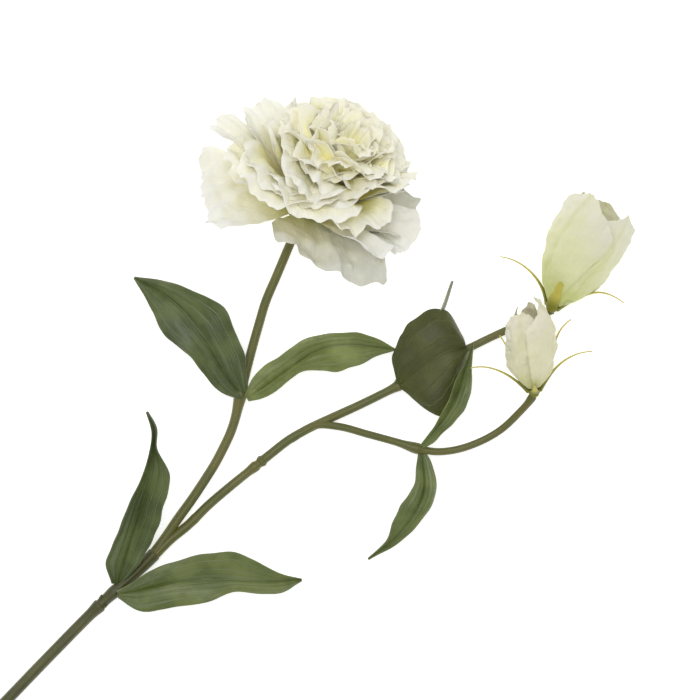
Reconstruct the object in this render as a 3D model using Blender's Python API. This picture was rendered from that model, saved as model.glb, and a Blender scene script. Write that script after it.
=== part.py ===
"""A cut lisianthus spray that lies on a table: one double bloom, two buds, forked stems, eight leaves.

Sizes are in millimetres up to the moment a mesh is made. X and Y run across the table and Z is up. The
origin is on the flat strip along which the main stem rests, 60 mm from its cut end.
"""

import math

import bmesh
import bpy
import numpy as np

MM = 0.001
GAP = 0.3  # between pieces that touch
BLADE = 0.7  # thickness of every leaf and petal
TABLE_SOFTNESS = 0.8  # in square mm: how gently a blade levels out above the table
LEAF_STATIONS = (0, 0.1, 0.2, 0.35, 0.5, 0.65, 0.8, 0.9, 1)

# Stems: the centre lines in x and y, or x, y and z, from the root end up.
STEM_SIDES = 10
MAIN_RADIUS = 2.1
CUT_SLANT = 0.8
NODE_SWELLING = 0.35  # at the leaf pair on the main stem
COLLAR_SWELLINGS = (0.2, 0.5, 0.55)  # over the last three points of the main stem
MAIN_LINE = ((-41.3, -43.5), (0, 0), (35, 36.9), (41, 42.2), (50.2, 50.6), (56, 55.8))
BLOOM_LINE = (
    (56.2, 56.4, 2.1), (65.4, 68.4, 2.0), (76, 83.2, 2.0), (83.2, 95.4, 2.0), (87, 106, 2.1),
    (88.9, 116, 2.3), (93.9, 133.4, 2.6), (98.4, 150.9, 3.4), (102.8, 162, 4.2), (106.6, 171.0, 4.9),
    (109.75, 178.35, 7.45),
)
BUD_LINE = (
    (56.8, 55.8, 2.1), (63, 62.2, 1.9), (72.6, 71.4, 1.8), (80.6, 77.3, 1.8), (88.5, 83.6, 1.8),
    (96.4, 90.0, 1.8),
)
UPPER_LINE = (
    (96.7, 90.3, 1.8), (104.5, 96.2, 1.8), (110, 100.4, 1.9), (117, 104.4, 2.1), (132.2, 112, 2.5),
    (148.2, 119.3, 2.9), (173.3, 132.2, 3.2), (188.0, 139.6, 2.9), (200.5, 145.4, 4.0), (208.0, 148.6, 4.4),
)
LOWER_LINE = (
    (108, 99, 2.0), (117, 104.3, 2.6), (126, 104.1, 4.2), (137.2, 101.3, 5.0), (147, 98.2, 5.0),
    (157, 95.2, 5.0), (168.7, 94.7, 5.2), (178.5, 97.4, 5.8), (188, 102.2, 6.8), (195.3, 108.6, 8.4),
    (198.6, 112.6, 9.9), (199.75, 114.75, 10.8),
)

# Leaves: midrib points, half widths to its left and right at LEAF_STATIONS, and how far the edges stand
# above the midrib at the base, the middle and the tip.
LEAVES = {
    "leaf_bloom_left": dict(
        midrib=((85.6, 116.4, 2.7), (79.4, 127.7, 5.0), (66.9, 148.2, 8.0), (48.3, 160.4, 2.0)),
        left=(1.0, 4.2, 5.6, 7.4, 9.6, 9.8, 6.8, 3.4, 0.35),
        right=(1.0, 3.8, 8.0, 11.0, 11.2, 7.6, 4.4, 2.4, 0.35),
        rise=((0.5, 1.0, 0.0), (1.5, 4.0, 0.5)),
        wave=(0.7, 2.5, 0.4),
    ),
    "leaf_bloom_right": dict(
        midrib=(
            (92.2, 115.4, 2.8), (104.9, 122.9, 5.5), (115.5, 130.5, 9.0), (130.3, 132.6, 9.0),
            (147.1, 133.2, 5.0),
        ),
        left=(1.0, 3.8, 5.8, 5.6, 5.8, 6.2, 5.4, 3.6, 0.35),
        right=(1.2, 4.1, 3.6, 4.0, 6.8, 7.8, 4.4, 2.0, 0.35),
        rise=((1.0, 2.5, 0.5), (1.0, 3.5, 0.0)),
        wave=(0.8, 2.0, 2.0),
    ),
    "leaf_main_left": dict(
        midrib=(
            (38.5, 44.6, 2.7), (44.6, 58.9, 4.5), (52.0, 72.2, 8.0), (57.5, 86.4, 10.0), (55.4, 98.4, 9.0),
            (53.2, 109.4, 5.0),
        ),
        left=(0.8, 4.2, 5.4, 6.2, 6.5, 4.8, 1.0, 1.3, 0.35),
        right=(0.8, 2.2, 5.0, 7.4, 6.2, 4.6, 0.8, 1.4, 0.35),
        rise=((2.0, 4.0, 0.0), (0.5, 5.0, 1.0)),
        wave=(0.8, 2.5, 1.0),
    ),
    "leaf_main_right": dict(
        midrib=(
            (43.1, 39.9, 2.7), (54.3, 42.6, 4.0), (65.4, 46.0, 5.5), (80.6, 47.2, 6.0), (91.2, 45.4, 5.0),
            (111.7, 46, 1.6),
        ),
        left=(0.8, 3.0, 5.2, 6.6, 8.4, 9.6, 6.2, 2.8, 0.35),
        right=(1.0, 6.4, 9.0, 10.2, 9.2, 5.8, 4.6, 3.6, 0.35),
        rise=((3.0, 6.0, 0.5), (-1.0, 1.0, 1.0)),
        wave=(0.7, 2.0, 3.0),
    ),
    "leaf_broad": dict(
        midrib=((149.8, 120.6, 5.4), (157.2, 125.4, 8.2), (167.4, 132.0, 10.0), (174.3, 134.0, 8.2)),
        left=(1.0, 9.5, 12.7, 15.0, 16.4, 16.0, 10.0, 6.0, 3.0),
        right=(1.5, 12.0, 17.2, 17.6, 15.8, 13.6, 12.5, 10.5, 6.0),
        rise=((1.0, -2.0, -3.5), (0.5, -1.5, -3.0)),
        wave=(0.5, 1.5, 0.6),
    ),
    "leaf_behind": dict(
        midrib=((147.6, 122.4, 3.6), (157.2, 136.0, 4.0), (164.8, 148.0, 5.0), (169.2, 159.2, 6.5)),
        left=(0.6, 0.5, 0.5, 0.6, 0.6, 0.6, 0.6, 0.5, 0.35),
        right=(0.6, 0.5, 0.5, 0.6, 0.6, 0.6, 0.6, 0.5, 0.35),
        rise=((1.0, 2.8, 0.5), (-1.0, -2.8, -0.5)),
        wave=(0.0, 1.0, 0.0),
    ),
    "leaf_bud_up": dict(
        midrib=(
            (157.6, 97.2, 6.0), (166.3, 106.0, 11.0), (172.2, 116.5, 12.6), (174.4, 125, 10.8),
            (177.1, 135.3, 8.5),
        ),
        left=(0.7, 2.4, 3.0, 3.5, 3.6, 2.6, 1.0, 0.6, 0.35),
        right=(0.7, 2.4, 3.0, 3.5, 3.6, 2.8, 1.0, 0.6, 0.35),
        rise=((0.5, 3.0, 0.5), (0.5, 2.0, 0.5)),
        wave=(0.5, 2.0, 0.0),
    ),
    "leaf_bud_down": dict(
        midrib=((157.8, 92.9, 4.6), (158.8, 79.8, 5.0), (151.3, 66.5, 4.6), (137.6, 53.6, 1.4)),
        left=(0.8, 2.6, 3.8, 4.6, 4.6, 3.6, 2.3, 1.4, 0.35),
        right=(0.8, 2.6, 3.5, 4.3, 4.6, 3.2, 1.9, 1.0, 0.35),
        rise=((0.5, 2.0, 0.5), (0.5, 2.5, 0.5)),
        wave=(0.5, 2.0, 1.5),
    ),
}

# The bloom: where its petals start, and the way it faces.
BLOOM_BASE = (111.8, 184.0, 12.5)
BLOOM_AXIS = (0.26, 0.71, 0.65)
# Its outer petals: turn round the axis, length, width, the lean from the axis at the root and at the edge,
# cup, ruffle height, ruffle waves, ruffle phase, and how much longer the right side is than the left.
SINGLES = (
    (-54, 44, 48, 52, 112, 0.2, 2.0, 1.2, 0.5, 0),
    (22, 40, 58, 62, 104, 0.3, 2.2, 1.3, 4.45, 0.32),
    (78, 44, 34, 54, 92, 0.3, 2.6, 1.5, 1.0, 0),
    (112, 42, 34, 40, 74, 0.4, 2.4, 1.7, 0.2, 0),
    (146, 41, 34, 40, 70, 0.4, 2.4, 1.6, 3.0, 0),
    (174, 43, 32, 40, 70, 0.4, 2.6, 1.8, 1.7, 0),
    (202, 42, 25, 40, 70, 0.3, 2.0, 1.4, 4.0, 0),
    (238, 36, 22, 40, 68, 0.5, 1.6, 1.2, 2.0, 0),
    (266, 43, 18, 42, 84, 0.6, 1.4, 1.0, 2.0, 0),
    (-62, 37, 32, 44, 74, 0.3, 2.2, 1.6, 1.0, 0),
    (-26, 34, 42, 44, 68, 0.3, 2.0, 1.6, 2.0, 0),
    (14, 32, 38, 40, 62, 0.3, 2.2, 1.6, 4.0, 0),
    (50, 38, 32, 42, 72, 0.3, 2.4, 1.6, 0.0, 0),
)
# Its rings of ruffled petals, from outside in: count, first turn, step, length, width, lean at the root and
# at the edge, cup, ruffle height.
RINGS = (
    (4, 84, 49, 42, 29, 40, 63, 0.3, 2.6),
    (6, -40, 60, 39.5, 25, 30, 52, 0.4, 2.6),
    (5, -12, 72, 38, 22, 20, 38, 0.5, 2.4),
    (4, 20, 90, 37, 16, 10, 24, 0.6, 2.0),
    (2, 75, 180, 36, 13, 3, 12, 0.8, 1.4),
)
# Turned shapes about the axis, as radius and height: the petals' joined foot, and the green cup below it.
BLOOM_FOOT = ((3.6, GAP), (4.4, 2.5), (4.2, 6.0), (2.6, 10.0))
BLOOM_CUP = ((1.6, -7.0), (2.6, -4.0), (4.2, -1.6), (4.0, 0.0))
# Sepals: turn, length, and the leans that the blade bends through.
BLOOM_SEPALS = (
    (-85, 9, (38, 55)), (-10, 9, (60, 80)), (60, 9, (60, 85)), (130, 8, (40, 60)), (210, 8, (40, 60)),
)

# Buds. profile is the radius at shares of the height. A petal is its turn, its share of the height, how far
# one edge stands over the next petal, how pointed it is, and how far its tip leans out.
BUD_PETAL_SPAN = 150
BUD_FOOT = ((1.8, GAP), (2.6, 1.5), (3.2, 4.0), (2.0, 6.0))
BUDS = {
    "upper_bud": dict(
        base=(207.2, 150.0, 8.7),
        axis=(0.45, 0.865, 0.22),
        height=44,
        twist=25,
        profile=((0, 0.1, 0.22, 0.33, 0.45, 0.62, 0.8, 1.0), (1.8, 3.6, 7.6, 10.8, 12.6, 14.0, 13.6, 11.6)),
        petals=((-12, 1.04, 0.8, 0.28, 0.0), (75, 0.98, 0.8, 0.28, 1.0), (168, 0.95, 0.8, 0.25, 0.0),
                (-95, 0.99, 0.8, 0.28, 0.0)),
        sepals=((-96, 27, (32, 60, 84, 112)), (84, 28, (24, 34, 43, 80, 102)), (-8, 16, (36, 38, 28)),
                (130, 20, (32, 40, 28)), (205, 9, (50, 40))),
        cup=((1.5, -2.6), (2.3, -1.4), (3.0, -0.4), (2.8, 0.0)),
    ),
    "lower_bud": dict(
        base=(199.8, 118.4, 12.2),
        axis=(-0.11, 0.96, 0.26),
        height=36,
        twist=30,
        profile=((0, 0.12, 0.3, 0.45, 0.62, 0.8, 1.0), (1.8, 4.0, 7.2, 8.4, 8.8, 7.4, 3.2)),
        petals=((-30, 1.0, 0.7, 0.3, 0.0), (60, 0.96, 0.7, 0.3, 0.0), (150, 0.92, 0.7, 0.3, 0.0),
                (240, 0.96, 0.7, 0.35, 0.0)),
        sepals=((-88, 25, (34, 47, 66, 97)), (86, 26, (32, 42, 66, 95)), (115, 30, (44, 18, 26, 72)),
                (232, 28, (50, 20, 16, 40)), (0, 7, (60, 40))),
        cup=((1.4, -3.0), (2.2, -1.5), (2.9, -0.4), (2.7, 0.0)),
    ),
}

GREEN = (0.10, 0.16, 0.06)
OLIVE = (0.16, 0.17, 0.06)
LIME = (0.42, 0.44, 0.08)
CREAM = (0.86, 0.86, 0.76)


def unit(vector):
    vector = np.asarray(vector, float)
    return vector / np.linalg.norm(vector)


def smooth(points, count):
    """Points along a smooth curve through the given points, evenly spaced along it."""
    points = np.asarray(points, float)
    reach = np.r_[0, np.cumsum(np.linalg.norm(np.diff(points, axis=0), axis=1))]
    slopes = np.gradient(points, reach, axis=0)
    fine = np.linspace(0, reach[-1], 400)
    index = np.clip(np.searchsorted(reach, fine, side="right") - 1, 0, len(points) - 2)
    span = np.diff(reach)[index][:, None]
    t = (fine[:, None] - reach[index][:, None]) / span
    curve = (
        (2 * t**3 - 3 * t**2 + 1) * points[index]
        + (t**3 - 2 * t**2 + t) * span * slopes[index]
        + (-2 * t**3 + 3 * t**2) * points[index + 1]
        + (t**3 - t**2) * span * slopes[index + 1]
    )
    along = np.r_[0, np.cumsum(np.linalg.norm(np.diff(curve, axis=0), axis=1))]
    even = np.linspace(0, along[-1], count)
    return np.stack([np.interp(even, along, curve[:, k]) for k in range(3)], axis=1)


def tangents(points):
    ways = np.gradient(points, axis=0)
    return ways / np.linalg.norm(ways, axis=1)[:, None]


def closed_mesh(name, points, faces):
    mesh = bpy.data.meshes.new(name)
    mesh.from_pydata((np.asarray(points) * MM).tolist(), [], faces)
    mesh.validate()
    work = bmesh.new()
    work.from_mesh(mesh)
    bmesh.ops.recalc_face_normals(work, faces=work.faces)
    if work.calc_volume(signed=True) < 0:
        bmesh.ops.reverse_faces(work, faces=work.faces)
    work.to_mesh(mesh)
    work.free()
    return mesh


def tube(name, points, radii, sides=STEM_SIDES, slant=0.0):
    """A round stem with a flat side below. slant leans its first end, as a slanted cut does."""
    points = np.array(points, float)
    points[:, 2] = np.maximum(points[:, 2], radii * math.cos(math.pi / sides))
    ways = tangents(points)
    rings = []
    for k, (point, way) in enumerate(zip(points, ways)):
        across = unit(np.cross((0, 0, 1), way))
        above = np.cross(way, across)
        for side in range(sides):
            turn = -math.pi / 2 + (side + 0.5) * 2 * math.pi / sides
            out = radii[k] * (math.cos(turn) * across + math.sin(turn) * above)
            lean = slant * (out @ above) * way if k == 0 else 0
            rings.append(point + out + lean)
    faces = [tuple(range(sides))[::-1]]
    for k in range(len(points) - 1):
        a = k * sides
        for side in range(sides):
            b = (side + 1) % sides
            faces.append((a + side, a + b, a + sides + b, a + sides + side))
    last = (len(points) - 1) * sides
    faces.append(tuple(range(last, last + sides)))
    return closed_mesh(name, rings, faces)


def blade(name, sheet):
    """A thin solid from a grid of points, bent up softly where it would go below the table.

    Both faces are split into triangles alike, so that they never cross.
    """
    rows, columns = sheet.shape[:2]
    over = sheet[:, :, 2] - BLADE / 2
    sheet = sheet.copy()
    sheet[:, :, 2] = BLADE / 2 + 0.5 * (over + np.sqrt(over**2 + TABLE_SOFTNESS))
    normals = np.cross(np.gradient(sheet, axis=0), np.gradient(sheet, axis=1))
    normals /= np.linalg.norm(normals, axis=2)[:, :, None]
    top = (sheet + normals * BLADE / 2).reshape(-1, 3)
    below = (sheet - normals * BLADE / 2).reshape(-1, 3)
    points = np.concatenate([top, below])
    points[:, 2] = np.maximum(points[:, 2], 0)
    half = rows * columns
    faces = []
    for i in range(rows - 1):
        for j in range(columns - 1):
            a, b = i * columns + j, i * columns + j + 1
            c, d = a + columns, b + columns
            for one in ((a, b, d), (a, d, c)):
                faces.append(one)
                faces.append(tuple(half + k for k in one[::-1]))
    rim = [(0, j) for j in range(columns)] + [(i, columns - 1) for i in range(1, rows)]
    rim += [(rows - 1, j) for j in range(columns - 2, -1, -1)] + [(i, 0) for i in range(rows - 2, 0, -1)]
    rim = [i * columns + j for i, j in rim]
    for a, b in zip(rim, rim[1:] + rim[:1]):
        faces.append((b, a, half + a))
        faces.append((b, half + a, half + b))
    return closed_mesh(name, points, faces)


def leaf_sheet(midrib, left, right, rise, wave, rows=11, columns=5):
    """The middle surface of a leaf. wave is the height, number and phase of the ripples of its edges."""
    line = smooth(midrib, rows)
    ways = tangents(line)
    sheet = np.zeros((rows, columns, 3))
    for i, t in enumerate(np.linspace(0, 1, rows)):
        across = unit((-ways[i][1], ways[i][0], 0))
        for j, u in enumerate(np.linspace(-1, 1, columns)):
            half = np.interp(t, LEAF_STATIONS, left if u > 0 else right)
            lift = np.interp(t, (0, 0.5, 1), rise[0] if u > 0 else rise[1])
            ripple = wave[0] * math.sin(2 * math.pi * wave[1] * t + wave[2] + 1.5 * u) * u * u
            ripple *= min(1, 4 * (1 - t))
            bulge = 0.25 * half**0.5 * math.sin(math.pi * abs(u)) * min(1, 5 * t)
            sheet[i, j] = line[i] + across * half * u
            sheet[i, j, 2] += lift * u * u + ripple * min(1, 5 * t) + bulge
    return sheet


def head_frame(axis):
    """The axis of a head, the way square to it that faces up most, and the way to the right of that."""
    axis = unit(axis)
    front = unit(np.array((0, 0, 1)) - axis[2] * axis)
    return axis, front, np.cross(axis, front)


def petal_sheet(
    base, axis, turn, length, width, lean, cup, ruffle, waves, phase, root, skew=0, rows=6, columns=8,
):
    """A fan-shaped petal that rises from the base and leans out from the axis, ruffled towards its edge."""
    axis, front, side = head_frame(axis)
    turn = math.radians(turn)
    outward = math.cos(turn) * front + math.sin(turn) * side
    across = -math.sin(turn) * front + math.cos(turn) * side
    steps = np.linspace(0, 1.4, 71)
    angle = np.radians(lean[0] + (lean[1] - lean[0]) * steps**0.8)
    radial = root[0] + np.r_[0, np.cumsum(np.sin(angle[:-1]))] * length / 50
    height = root[1] + np.r_[0, np.cumsum(np.cos(angle[:-1]))] * length / 50
    sheet = np.zeros((rows, columns, 3))
    for i, v in enumerate(np.linspace(0, 1, rows)):
        for j, u in enumerate(np.linspace(-1, 1, columns)):
            s = v * (1 - 0.22 * abs(u) ** 2.5 * v + skew * u * v)
            r, h, lean_here = (np.interp(s, steps, values) for values in (radial, height, angle))
            half = 1.6 + (width / 2 - 1.6) * math.sin(math.pi / 2 * min(s, 1)) ** 1.4
            inward = -math.cos(lean_here) * outward + math.sin(lean_here) * axis
            fold = ruffle * s**2.2 * math.sin(math.pi * waves * u + phase + 1.2 * s)
            bend = cup * half * u * u * s
            sheet[i, j] = (
                np.asarray(base) + r * outward + h * axis + half * u * across * (1 - 0.12 * cup * u * u)
                + inward * (fold + bend)
            )
    return sheet


def bud_sheet(base, axis, turn, height, profile, slope, point, twist, tilt, rows=6, columns=6):
    """A petal wrapped round a bud. slope lifts one edge over its neighbour, point draws its tip up."""
    axis, front, side = head_frame(axis)
    sheet = np.zeros((rows, columns, 3))
    for i, v in enumerate(np.linspace(0, 1, rows)):
        for j, u in enumerate(np.linspace(-1, 1, columns)):
            top = 1 - point * abs(u) ** 1.4
            h = 0.025 + v * (top - 0.025)
            r = np.interp(h, profile[0], profile[1]) + slope * u * min(1, 4 * h) + tilt * h**4
            psi = math.radians(turn + u * BUD_PETAL_SPAN / 2 * (0.75 + 0.25 * v) + twist * h)
            out = math.cos(psi) * front + math.sin(psi) * side
            sheet[i, j] = np.asarray(base) + axis * h * height + r * out
    return sheet


def sepal_sheet(base, axis, turn, length, leans, width, start, rows=6):
    """A narrow green blade that leaves the cup of a head and bends through the given leans."""
    axis, front, side = head_frame(axis)
    turn = math.radians(turn)
    outward = math.cos(turn) * front + math.sin(turn) * side
    across = -math.sin(turn) * front + math.cos(turn) * side
    sheet = np.zeros((rows, 3, 3))
    place = np.asarray(base) + start[0] * outward + start[1] * axis
    steps = np.linspace(0, 1, rows)
    for i, t in enumerate(steps):
        half = 0.45 + (width / 2 - 0.45) * (1 - t) ** 3
        for j, u in enumerate((-1, 0, 1)):
            sheet[i, j] = place + across * half * u
        angle = math.radians(np.interp(t + 0.5 / rows, np.linspace(0, 1, len(leans)), leans))
        place = place + (math.sin(angle) * outward + math.cos(angle) * axis) * length / (rows - 1)
    return sheet


def cup_mesh(name, base, axis, rings, sides=10):
    """A turned shape about the axis: rings are pairs of radius and height."""
    axis, front, side = head_frame(axis)
    points = []
    for radius, height in rings:
        for k in range(sides):
            turn = 2 * math.pi * k / sides
            out = math.cos(turn) * front + math.sin(turn) * side
            points.append(np.asarray(base) + height * axis + radius * out)
    faces = [tuple(range(sides))[::-1]]
    for k in range(len(rings) - 1):
        a = k * sides
        for i in range(sides):
            b = (i + 1) % sides
            faces.append((a + i, a + b, a + sides + b, a + sides + i))
    last = (len(rings) - 1) * sides
    faces.append(tuple(range(last, last + sides)))
    return closed_mesh(name, points, faces)


def place(name, mesh):
    obj = bpy.data.objects.new(name, mesh)
    bpy.context.scene.collection.objects.link(obj)
    return obj


def largest_shell(mesh):
    """Fills the hollows that fusing sealed and drops loose scraps: only the outer skin stays."""
    work = bmesh.new()
    work.from_mesh(mesh)
    bmesh.ops.triangulate(work, faces=work.faces)
    left = set(work.faces)
    shells = []
    while left:
        shell, edge = set(), [left.pop()]
        while edge:
            face = edge.pop()
            shell.add(face)
            near = {other for line in face.edges for other in line.link_faces} & left
            left -= near
            edge.extend(near)
        volume = sum(face.verts[0].co.dot(face.verts[1].co.cross(face.verts[2].co)) for face in shell)
        shells.append((volume, shell))
    keep = max(shells, key=lambda pair: pair[0])[1]
    bmesh.ops.delete(work, geom=[face for face in work.faces if face not in keep], context="FACES")
    work.to_mesh(mesh)
    work.free()
    return mesh


def fuse(name, meshes):
    """One object from overlapping solids."""
    first, *others = [place(f"{name}_{k}", mesh) for k, mesh in enumerate(meshes)]
    group = bpy.data.collections.new(name)
    bpy.context.scene.collection.children.link(group)
    for other in others:
        group.objects.link(other)
        bpy.context.scene.collection.objects.unlink(other)
    join = first.modifiers.new("join", "BOOLEAN")
    join.operand_type = "COLLECTION"
    join.operation = "UNION"
    join.solver = "EXACT"
    join.collection = group
    graph = bpy.context.evaluated_depsgraph_get()
    graph.update()
    mesh = bpy.data.meshes.new_from_object(first.evaluated_get(graph))
    for obj in (first, *others):
        bpy.data.objects.remove(obj)
    bpy.data.collections.remove(group)
    return place(name, largest_shell(mesh))


def paint(obj, colour, roughness):
    material = bpy.data.materials.new(obj.name)
    material.use_nodes = True
    shader = material.node_tree.nodes["Principled BSDF"]
    shader.inputs["Base Color"].default_value = (*colour, 1)
    shader.inputs["Roughness"].default_value = roughness
    obj.data.materials.clear()
    obj.data.materials.append(material)


def swollen(points, start, end, swellings):
    """Radii from start to end, with a swelling (distance along, height, reach) at each node of the stem."""
    along = np.r_[0, np.cumsum(np.linalg.norm(np.diff(points, axis=0), axis=1))]
    radii = start + (end - start) * along / along[-1]
    for at, height, reach in swellings:
        radii += height * np.exp(-(((along - at) / reach) ** 2))
    return radii


def build_stems():
    height = MAIN_RADIUS * math.cos(math.pi / STEM_SIDES)
    line = np.array([(x, y, height) for x, y in MAIN_LINE])
    before_node = line[2] - 2.0 * unit(line[2] - line[0])
    lower = np.array([line[0], before_node])
    upper = smooth(line[2:], 9)
    points = np.concatenate([lower, upper])
    radii = np.full(len(points), MAIN_RADIUS)
    radii[2] += NODE_SWELLING
    radii[4] += NODE_SWELLING
    radii[-3:] += COLLAR_SWELLINGS
    main = place("main_stem", tube("main_stem", points, radii, slant=CUT_SLANT))
    paint(main, OLIVE, 0.5)

    bloom = smooth(BLOOM_LINE, 20)
    bud = smooth(BUD_LINE, 9)
    fork = fuse("fork_stem", [
        tube("bloom", bloom, swollen(bloom, 1.9, 1.75, ((66, 0.6, 3.5),)), sides=8),
        tube("bud", bud, swollen(bud, 1.8, 1.7, ()), sides=8),
    ])
    paint(fork, OLIVE, 0.5)

    upper = smooth(UPPER_LINE, 18)
    lower = smooth(LOWER_LINE, 18)
    buds = fuse("bud_stem", [
        tube("upper", upper, swollen(upper, 1.75, 1.5, ((1, 0.45, 1.5), (59, 0.5, 3))), sides=8),
        tube("lower", lower, swollen(lower, 1.3, 1.35, ((50, 0.45, 3),)), sides=8),
    ])
    paint(buds, OLIVE, 0.5)


def build_leaves():
    for name, shape in LEAVES.items():
        leaf = place(name, blade(name, leaf_sheet(**shape)))
        paint(leaf, GREEN, 0.45)


def build_bloom():
    solids = [cup_mesh("foot", BLOOM_BASE, BLOOM_AXIS, BLOOM_FOOT)]
    for turn, length, width, first, last, cup, ruffle, waves, phase, skew in SINGLES:
        sheet = petal_sheet(
            BLOOM_BASE, BLOOM_AXIS, turn, length, width, (first, last), cup, ruffle, waves, phase,
            (3.0, 3.0), skew,
        )
        solids.append(blade("single", sheet))
    for ring, (count, start, step, length, width, first, last, cup, ruffle) in enumerate(RINGS):
        axis = unit(np.array(BLOOM_AXIS) + 0.05 * ring * np.array((0.94, -0.34, 0)))
        for k in range(count):
            wobble = math.sin(7.3 * k + 2.1 * ring)
            turn = (start + step * k + 6 * wobble + 180) % 360 - 180
            near_left = math.exp(-(((turn + 105) / 30) ** 2))
            sheet = petal_sheet(
                BLOOM_BASE, axis, turn, length * (1 + 0.03 * wobble - 0.13 * near_left), width,
                (first, last + 4 * wobble), cup, ruffle, 1.6 + 0.3 * wobble, 2.4 * k + ring,
                (2.6 - 0.45 * ring, 4.5 + 0.9 * ring), rows=5, columns=6,
            )
            solids.append(blade("frill", sheet))
    paint(fuse("bloom_petals", solids), CREAM, 0.6)
    build_calyx("bloom", BLOOM_BASE, BLOOM_AXIS, BLOOM_CUP, BLOOM_SEPALS, 2.4, (3.4, -1.8))


def build_calyx(prefix, base, axis, cup, sepals, width, start):
    """The green cup below a head with its sepals, whose roots start inside the cup's wall."""
    solids = [cup_mesh("cup", base, axis, cup)]
    for turn, length, leans in sepals:
        solids.append(blade("sepal", sepal_sheet(base, axis, turn, length, leans, width, start)))
    paint(fuse(prefix + "_calyx", solids), LIME, 0.5)


def build_bud(prefix, base, axis, height, twist, profile, petals, sepals, cup):
    solids = [cup_mesh("foot", base, axis, BUD_FOOT)]
    for turn, share, slope, point, tilt in petals:
        sheet = bud_sheet(base, axis, turn, height * share, profile, slope, point, twist, tilt)
        solids.append(blade("petal", sheet))
    paint(fuse(prefix + "_petals", solids), CREAM, 0.6)
    build_calyx(prefix, base, axis, cup, sepals, 2.8, (2.6, -1.1))


def main():
    for obj in list(bpy.data.objects):
        bpy.data.objects.remove(obj)
    build_stems()
    build_leaves()
    build_bloom()
    for prefix, shape in BUDS.items():
        build_bud(prefix, **shape)


main()
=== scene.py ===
"""The looks of a cut lisianthus spray: fine petals, leaves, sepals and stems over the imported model.

Sizes are in millimetres up to the moment a mesh is made, as in the part's own source. The shapes come
from the same lines and tables as the solids that they replace, with more points and more detail.
"""

import math

import bpy
import numpy as np
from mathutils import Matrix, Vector


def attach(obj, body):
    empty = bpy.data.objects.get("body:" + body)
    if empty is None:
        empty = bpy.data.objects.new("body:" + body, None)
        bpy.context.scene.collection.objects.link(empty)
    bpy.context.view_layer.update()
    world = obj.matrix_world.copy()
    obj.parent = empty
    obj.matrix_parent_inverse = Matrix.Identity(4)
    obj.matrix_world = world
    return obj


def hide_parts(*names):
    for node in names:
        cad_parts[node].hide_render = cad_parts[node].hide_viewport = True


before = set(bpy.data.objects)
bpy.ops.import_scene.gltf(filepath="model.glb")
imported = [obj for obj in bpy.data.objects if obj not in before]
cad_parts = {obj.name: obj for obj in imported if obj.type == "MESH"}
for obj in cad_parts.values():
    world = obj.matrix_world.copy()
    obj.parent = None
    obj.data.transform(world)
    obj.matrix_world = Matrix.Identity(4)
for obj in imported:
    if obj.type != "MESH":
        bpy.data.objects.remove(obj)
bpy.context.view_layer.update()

MM = 0.001

# Camera: straight above, at the scale of 0.38 mm to a pixel of a picture 700 pixels wide.
CAMERA_PLACE = (0.1303, 0.1330, 1.482)
CAMERA_LENS = 200
CAMERA_SENSOR = 36

# Thickness of the blades at the root and at the rim.
PETAL_THICKNESS = (0.42, 0.16)
LEAF_THICKNESS = (0.75, 0.4)
SEPAL_THICKNESS = (0.8, 0.35)
PAINTED_SHEEN = (0.20, 0.24, 0.14)  # the pale streaks painted on a leaf as satin sheen highlights
TABLE_SOFTNESS = 0.8  # in square mm: how gently a blade levels out above the table

# Stems: the centre lines, from the root end up.
STEM_SIDES = 28
MAIN_HEIGHT = 2.1
MAIN_LINE = ((-41.3, -43.5), (0, 0), (17.6, 18.3), (35.5, 36.3), (41.2, 41.6), (47.8, 47.4), (56.3, 55.8))
BLOOM_LINE = (
    (54.2, 53.9, 2.1), (60.0, 61.6, 2.0), (64.8, 68.7, 2.0), (70.2, 76.2, 2.0), (75.2, 83.7, 2.0),
    (79.0, 89.8, 2.0), (82.2, 95.9, 2.0), (84.6, 101.0, 2.0), (86.4, 106.2, 2.1), (88.0, 113.0, 2.2),
    (89.6, 120.0, 2.4), (93.0, 133.4, 2.6), (95.5, 142.3, 3.0), (98.1, 151.0, 3.5), (102.6, 161.6, 4.3),
    (106.4, 170.6, 5.0), (109.75, 178.35, 7.45),
)
BUD_LINE = (
    (54.6, 53.4, 2.1), (62.0, 60.9, 1.9), (68.4, 66.1, 1.9), (76.6, 74.1, 1.8), (84.3, 80.7, 1.8),
    (92.2, 87.1, 1.8), (96.4, 90.4, 1.8),
)
UPPER_LINE = (
    (95.8, 90.0, 1.8), (100.3, 93.6, 1.8), (106.9, 98.7, 1.9), (113.2, 102.4, 2.0), (124.8, 107.9, 2.3),
    (132.5, 111.4, 2.5), (148.3, 119.2, 2.9), (173.3, 132.6, 3.2), (187.9, 139.7, 2.9), (200.5, 145.2, 4.0),
    (207.4, 148.1, 4.4),
)
LOWER_LINE = (
    (108, 99, 2.0), (117, 104.3, 2.6), (126, 103.9, 4.2), (137.1, 101.0, 5.0), (147, 98.3, 5.0),
    (156.8, 95.4, 5.0), (162.8, 94.4, 5.1), (168.7, 94.8, 5.2), (178.4, 97.7, 5.8), (187.4, 102.7, 6.8),
    (194.4, 109.3, 8.6), (198.0, 113.4, 10.2), (199.5, 115.6, 11.0),
)
# Each swelling of a stem: how far along it is, its height, and its reach towards the root and the tip.
MAIN_SWELLINGS = ((110.2, 0.5, 3.0, 0.25), (117.4, 0.3, 2.5, 2.5), (138.6, 0.45, 9.0, 0.4))
BLOOM_SWELLINGS = ((73.5, 0.75, 6.5, 2.2),)
BUD_SWELLINGS = ((23.0, 0.12, 2.0, 0.6), (53.2, 0.4, 2.2, 0.9))
UPPER_SWELLINGS = ((1.4, 0.5, 1.2, 0.6), (61.5, 0.55, 3.0, 1.5))
LOWER_SWELLINGS = ((50.6, 0.75, 4.5, 2.4), (101.5, 0.25, 2.0, 2.0))

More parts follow.
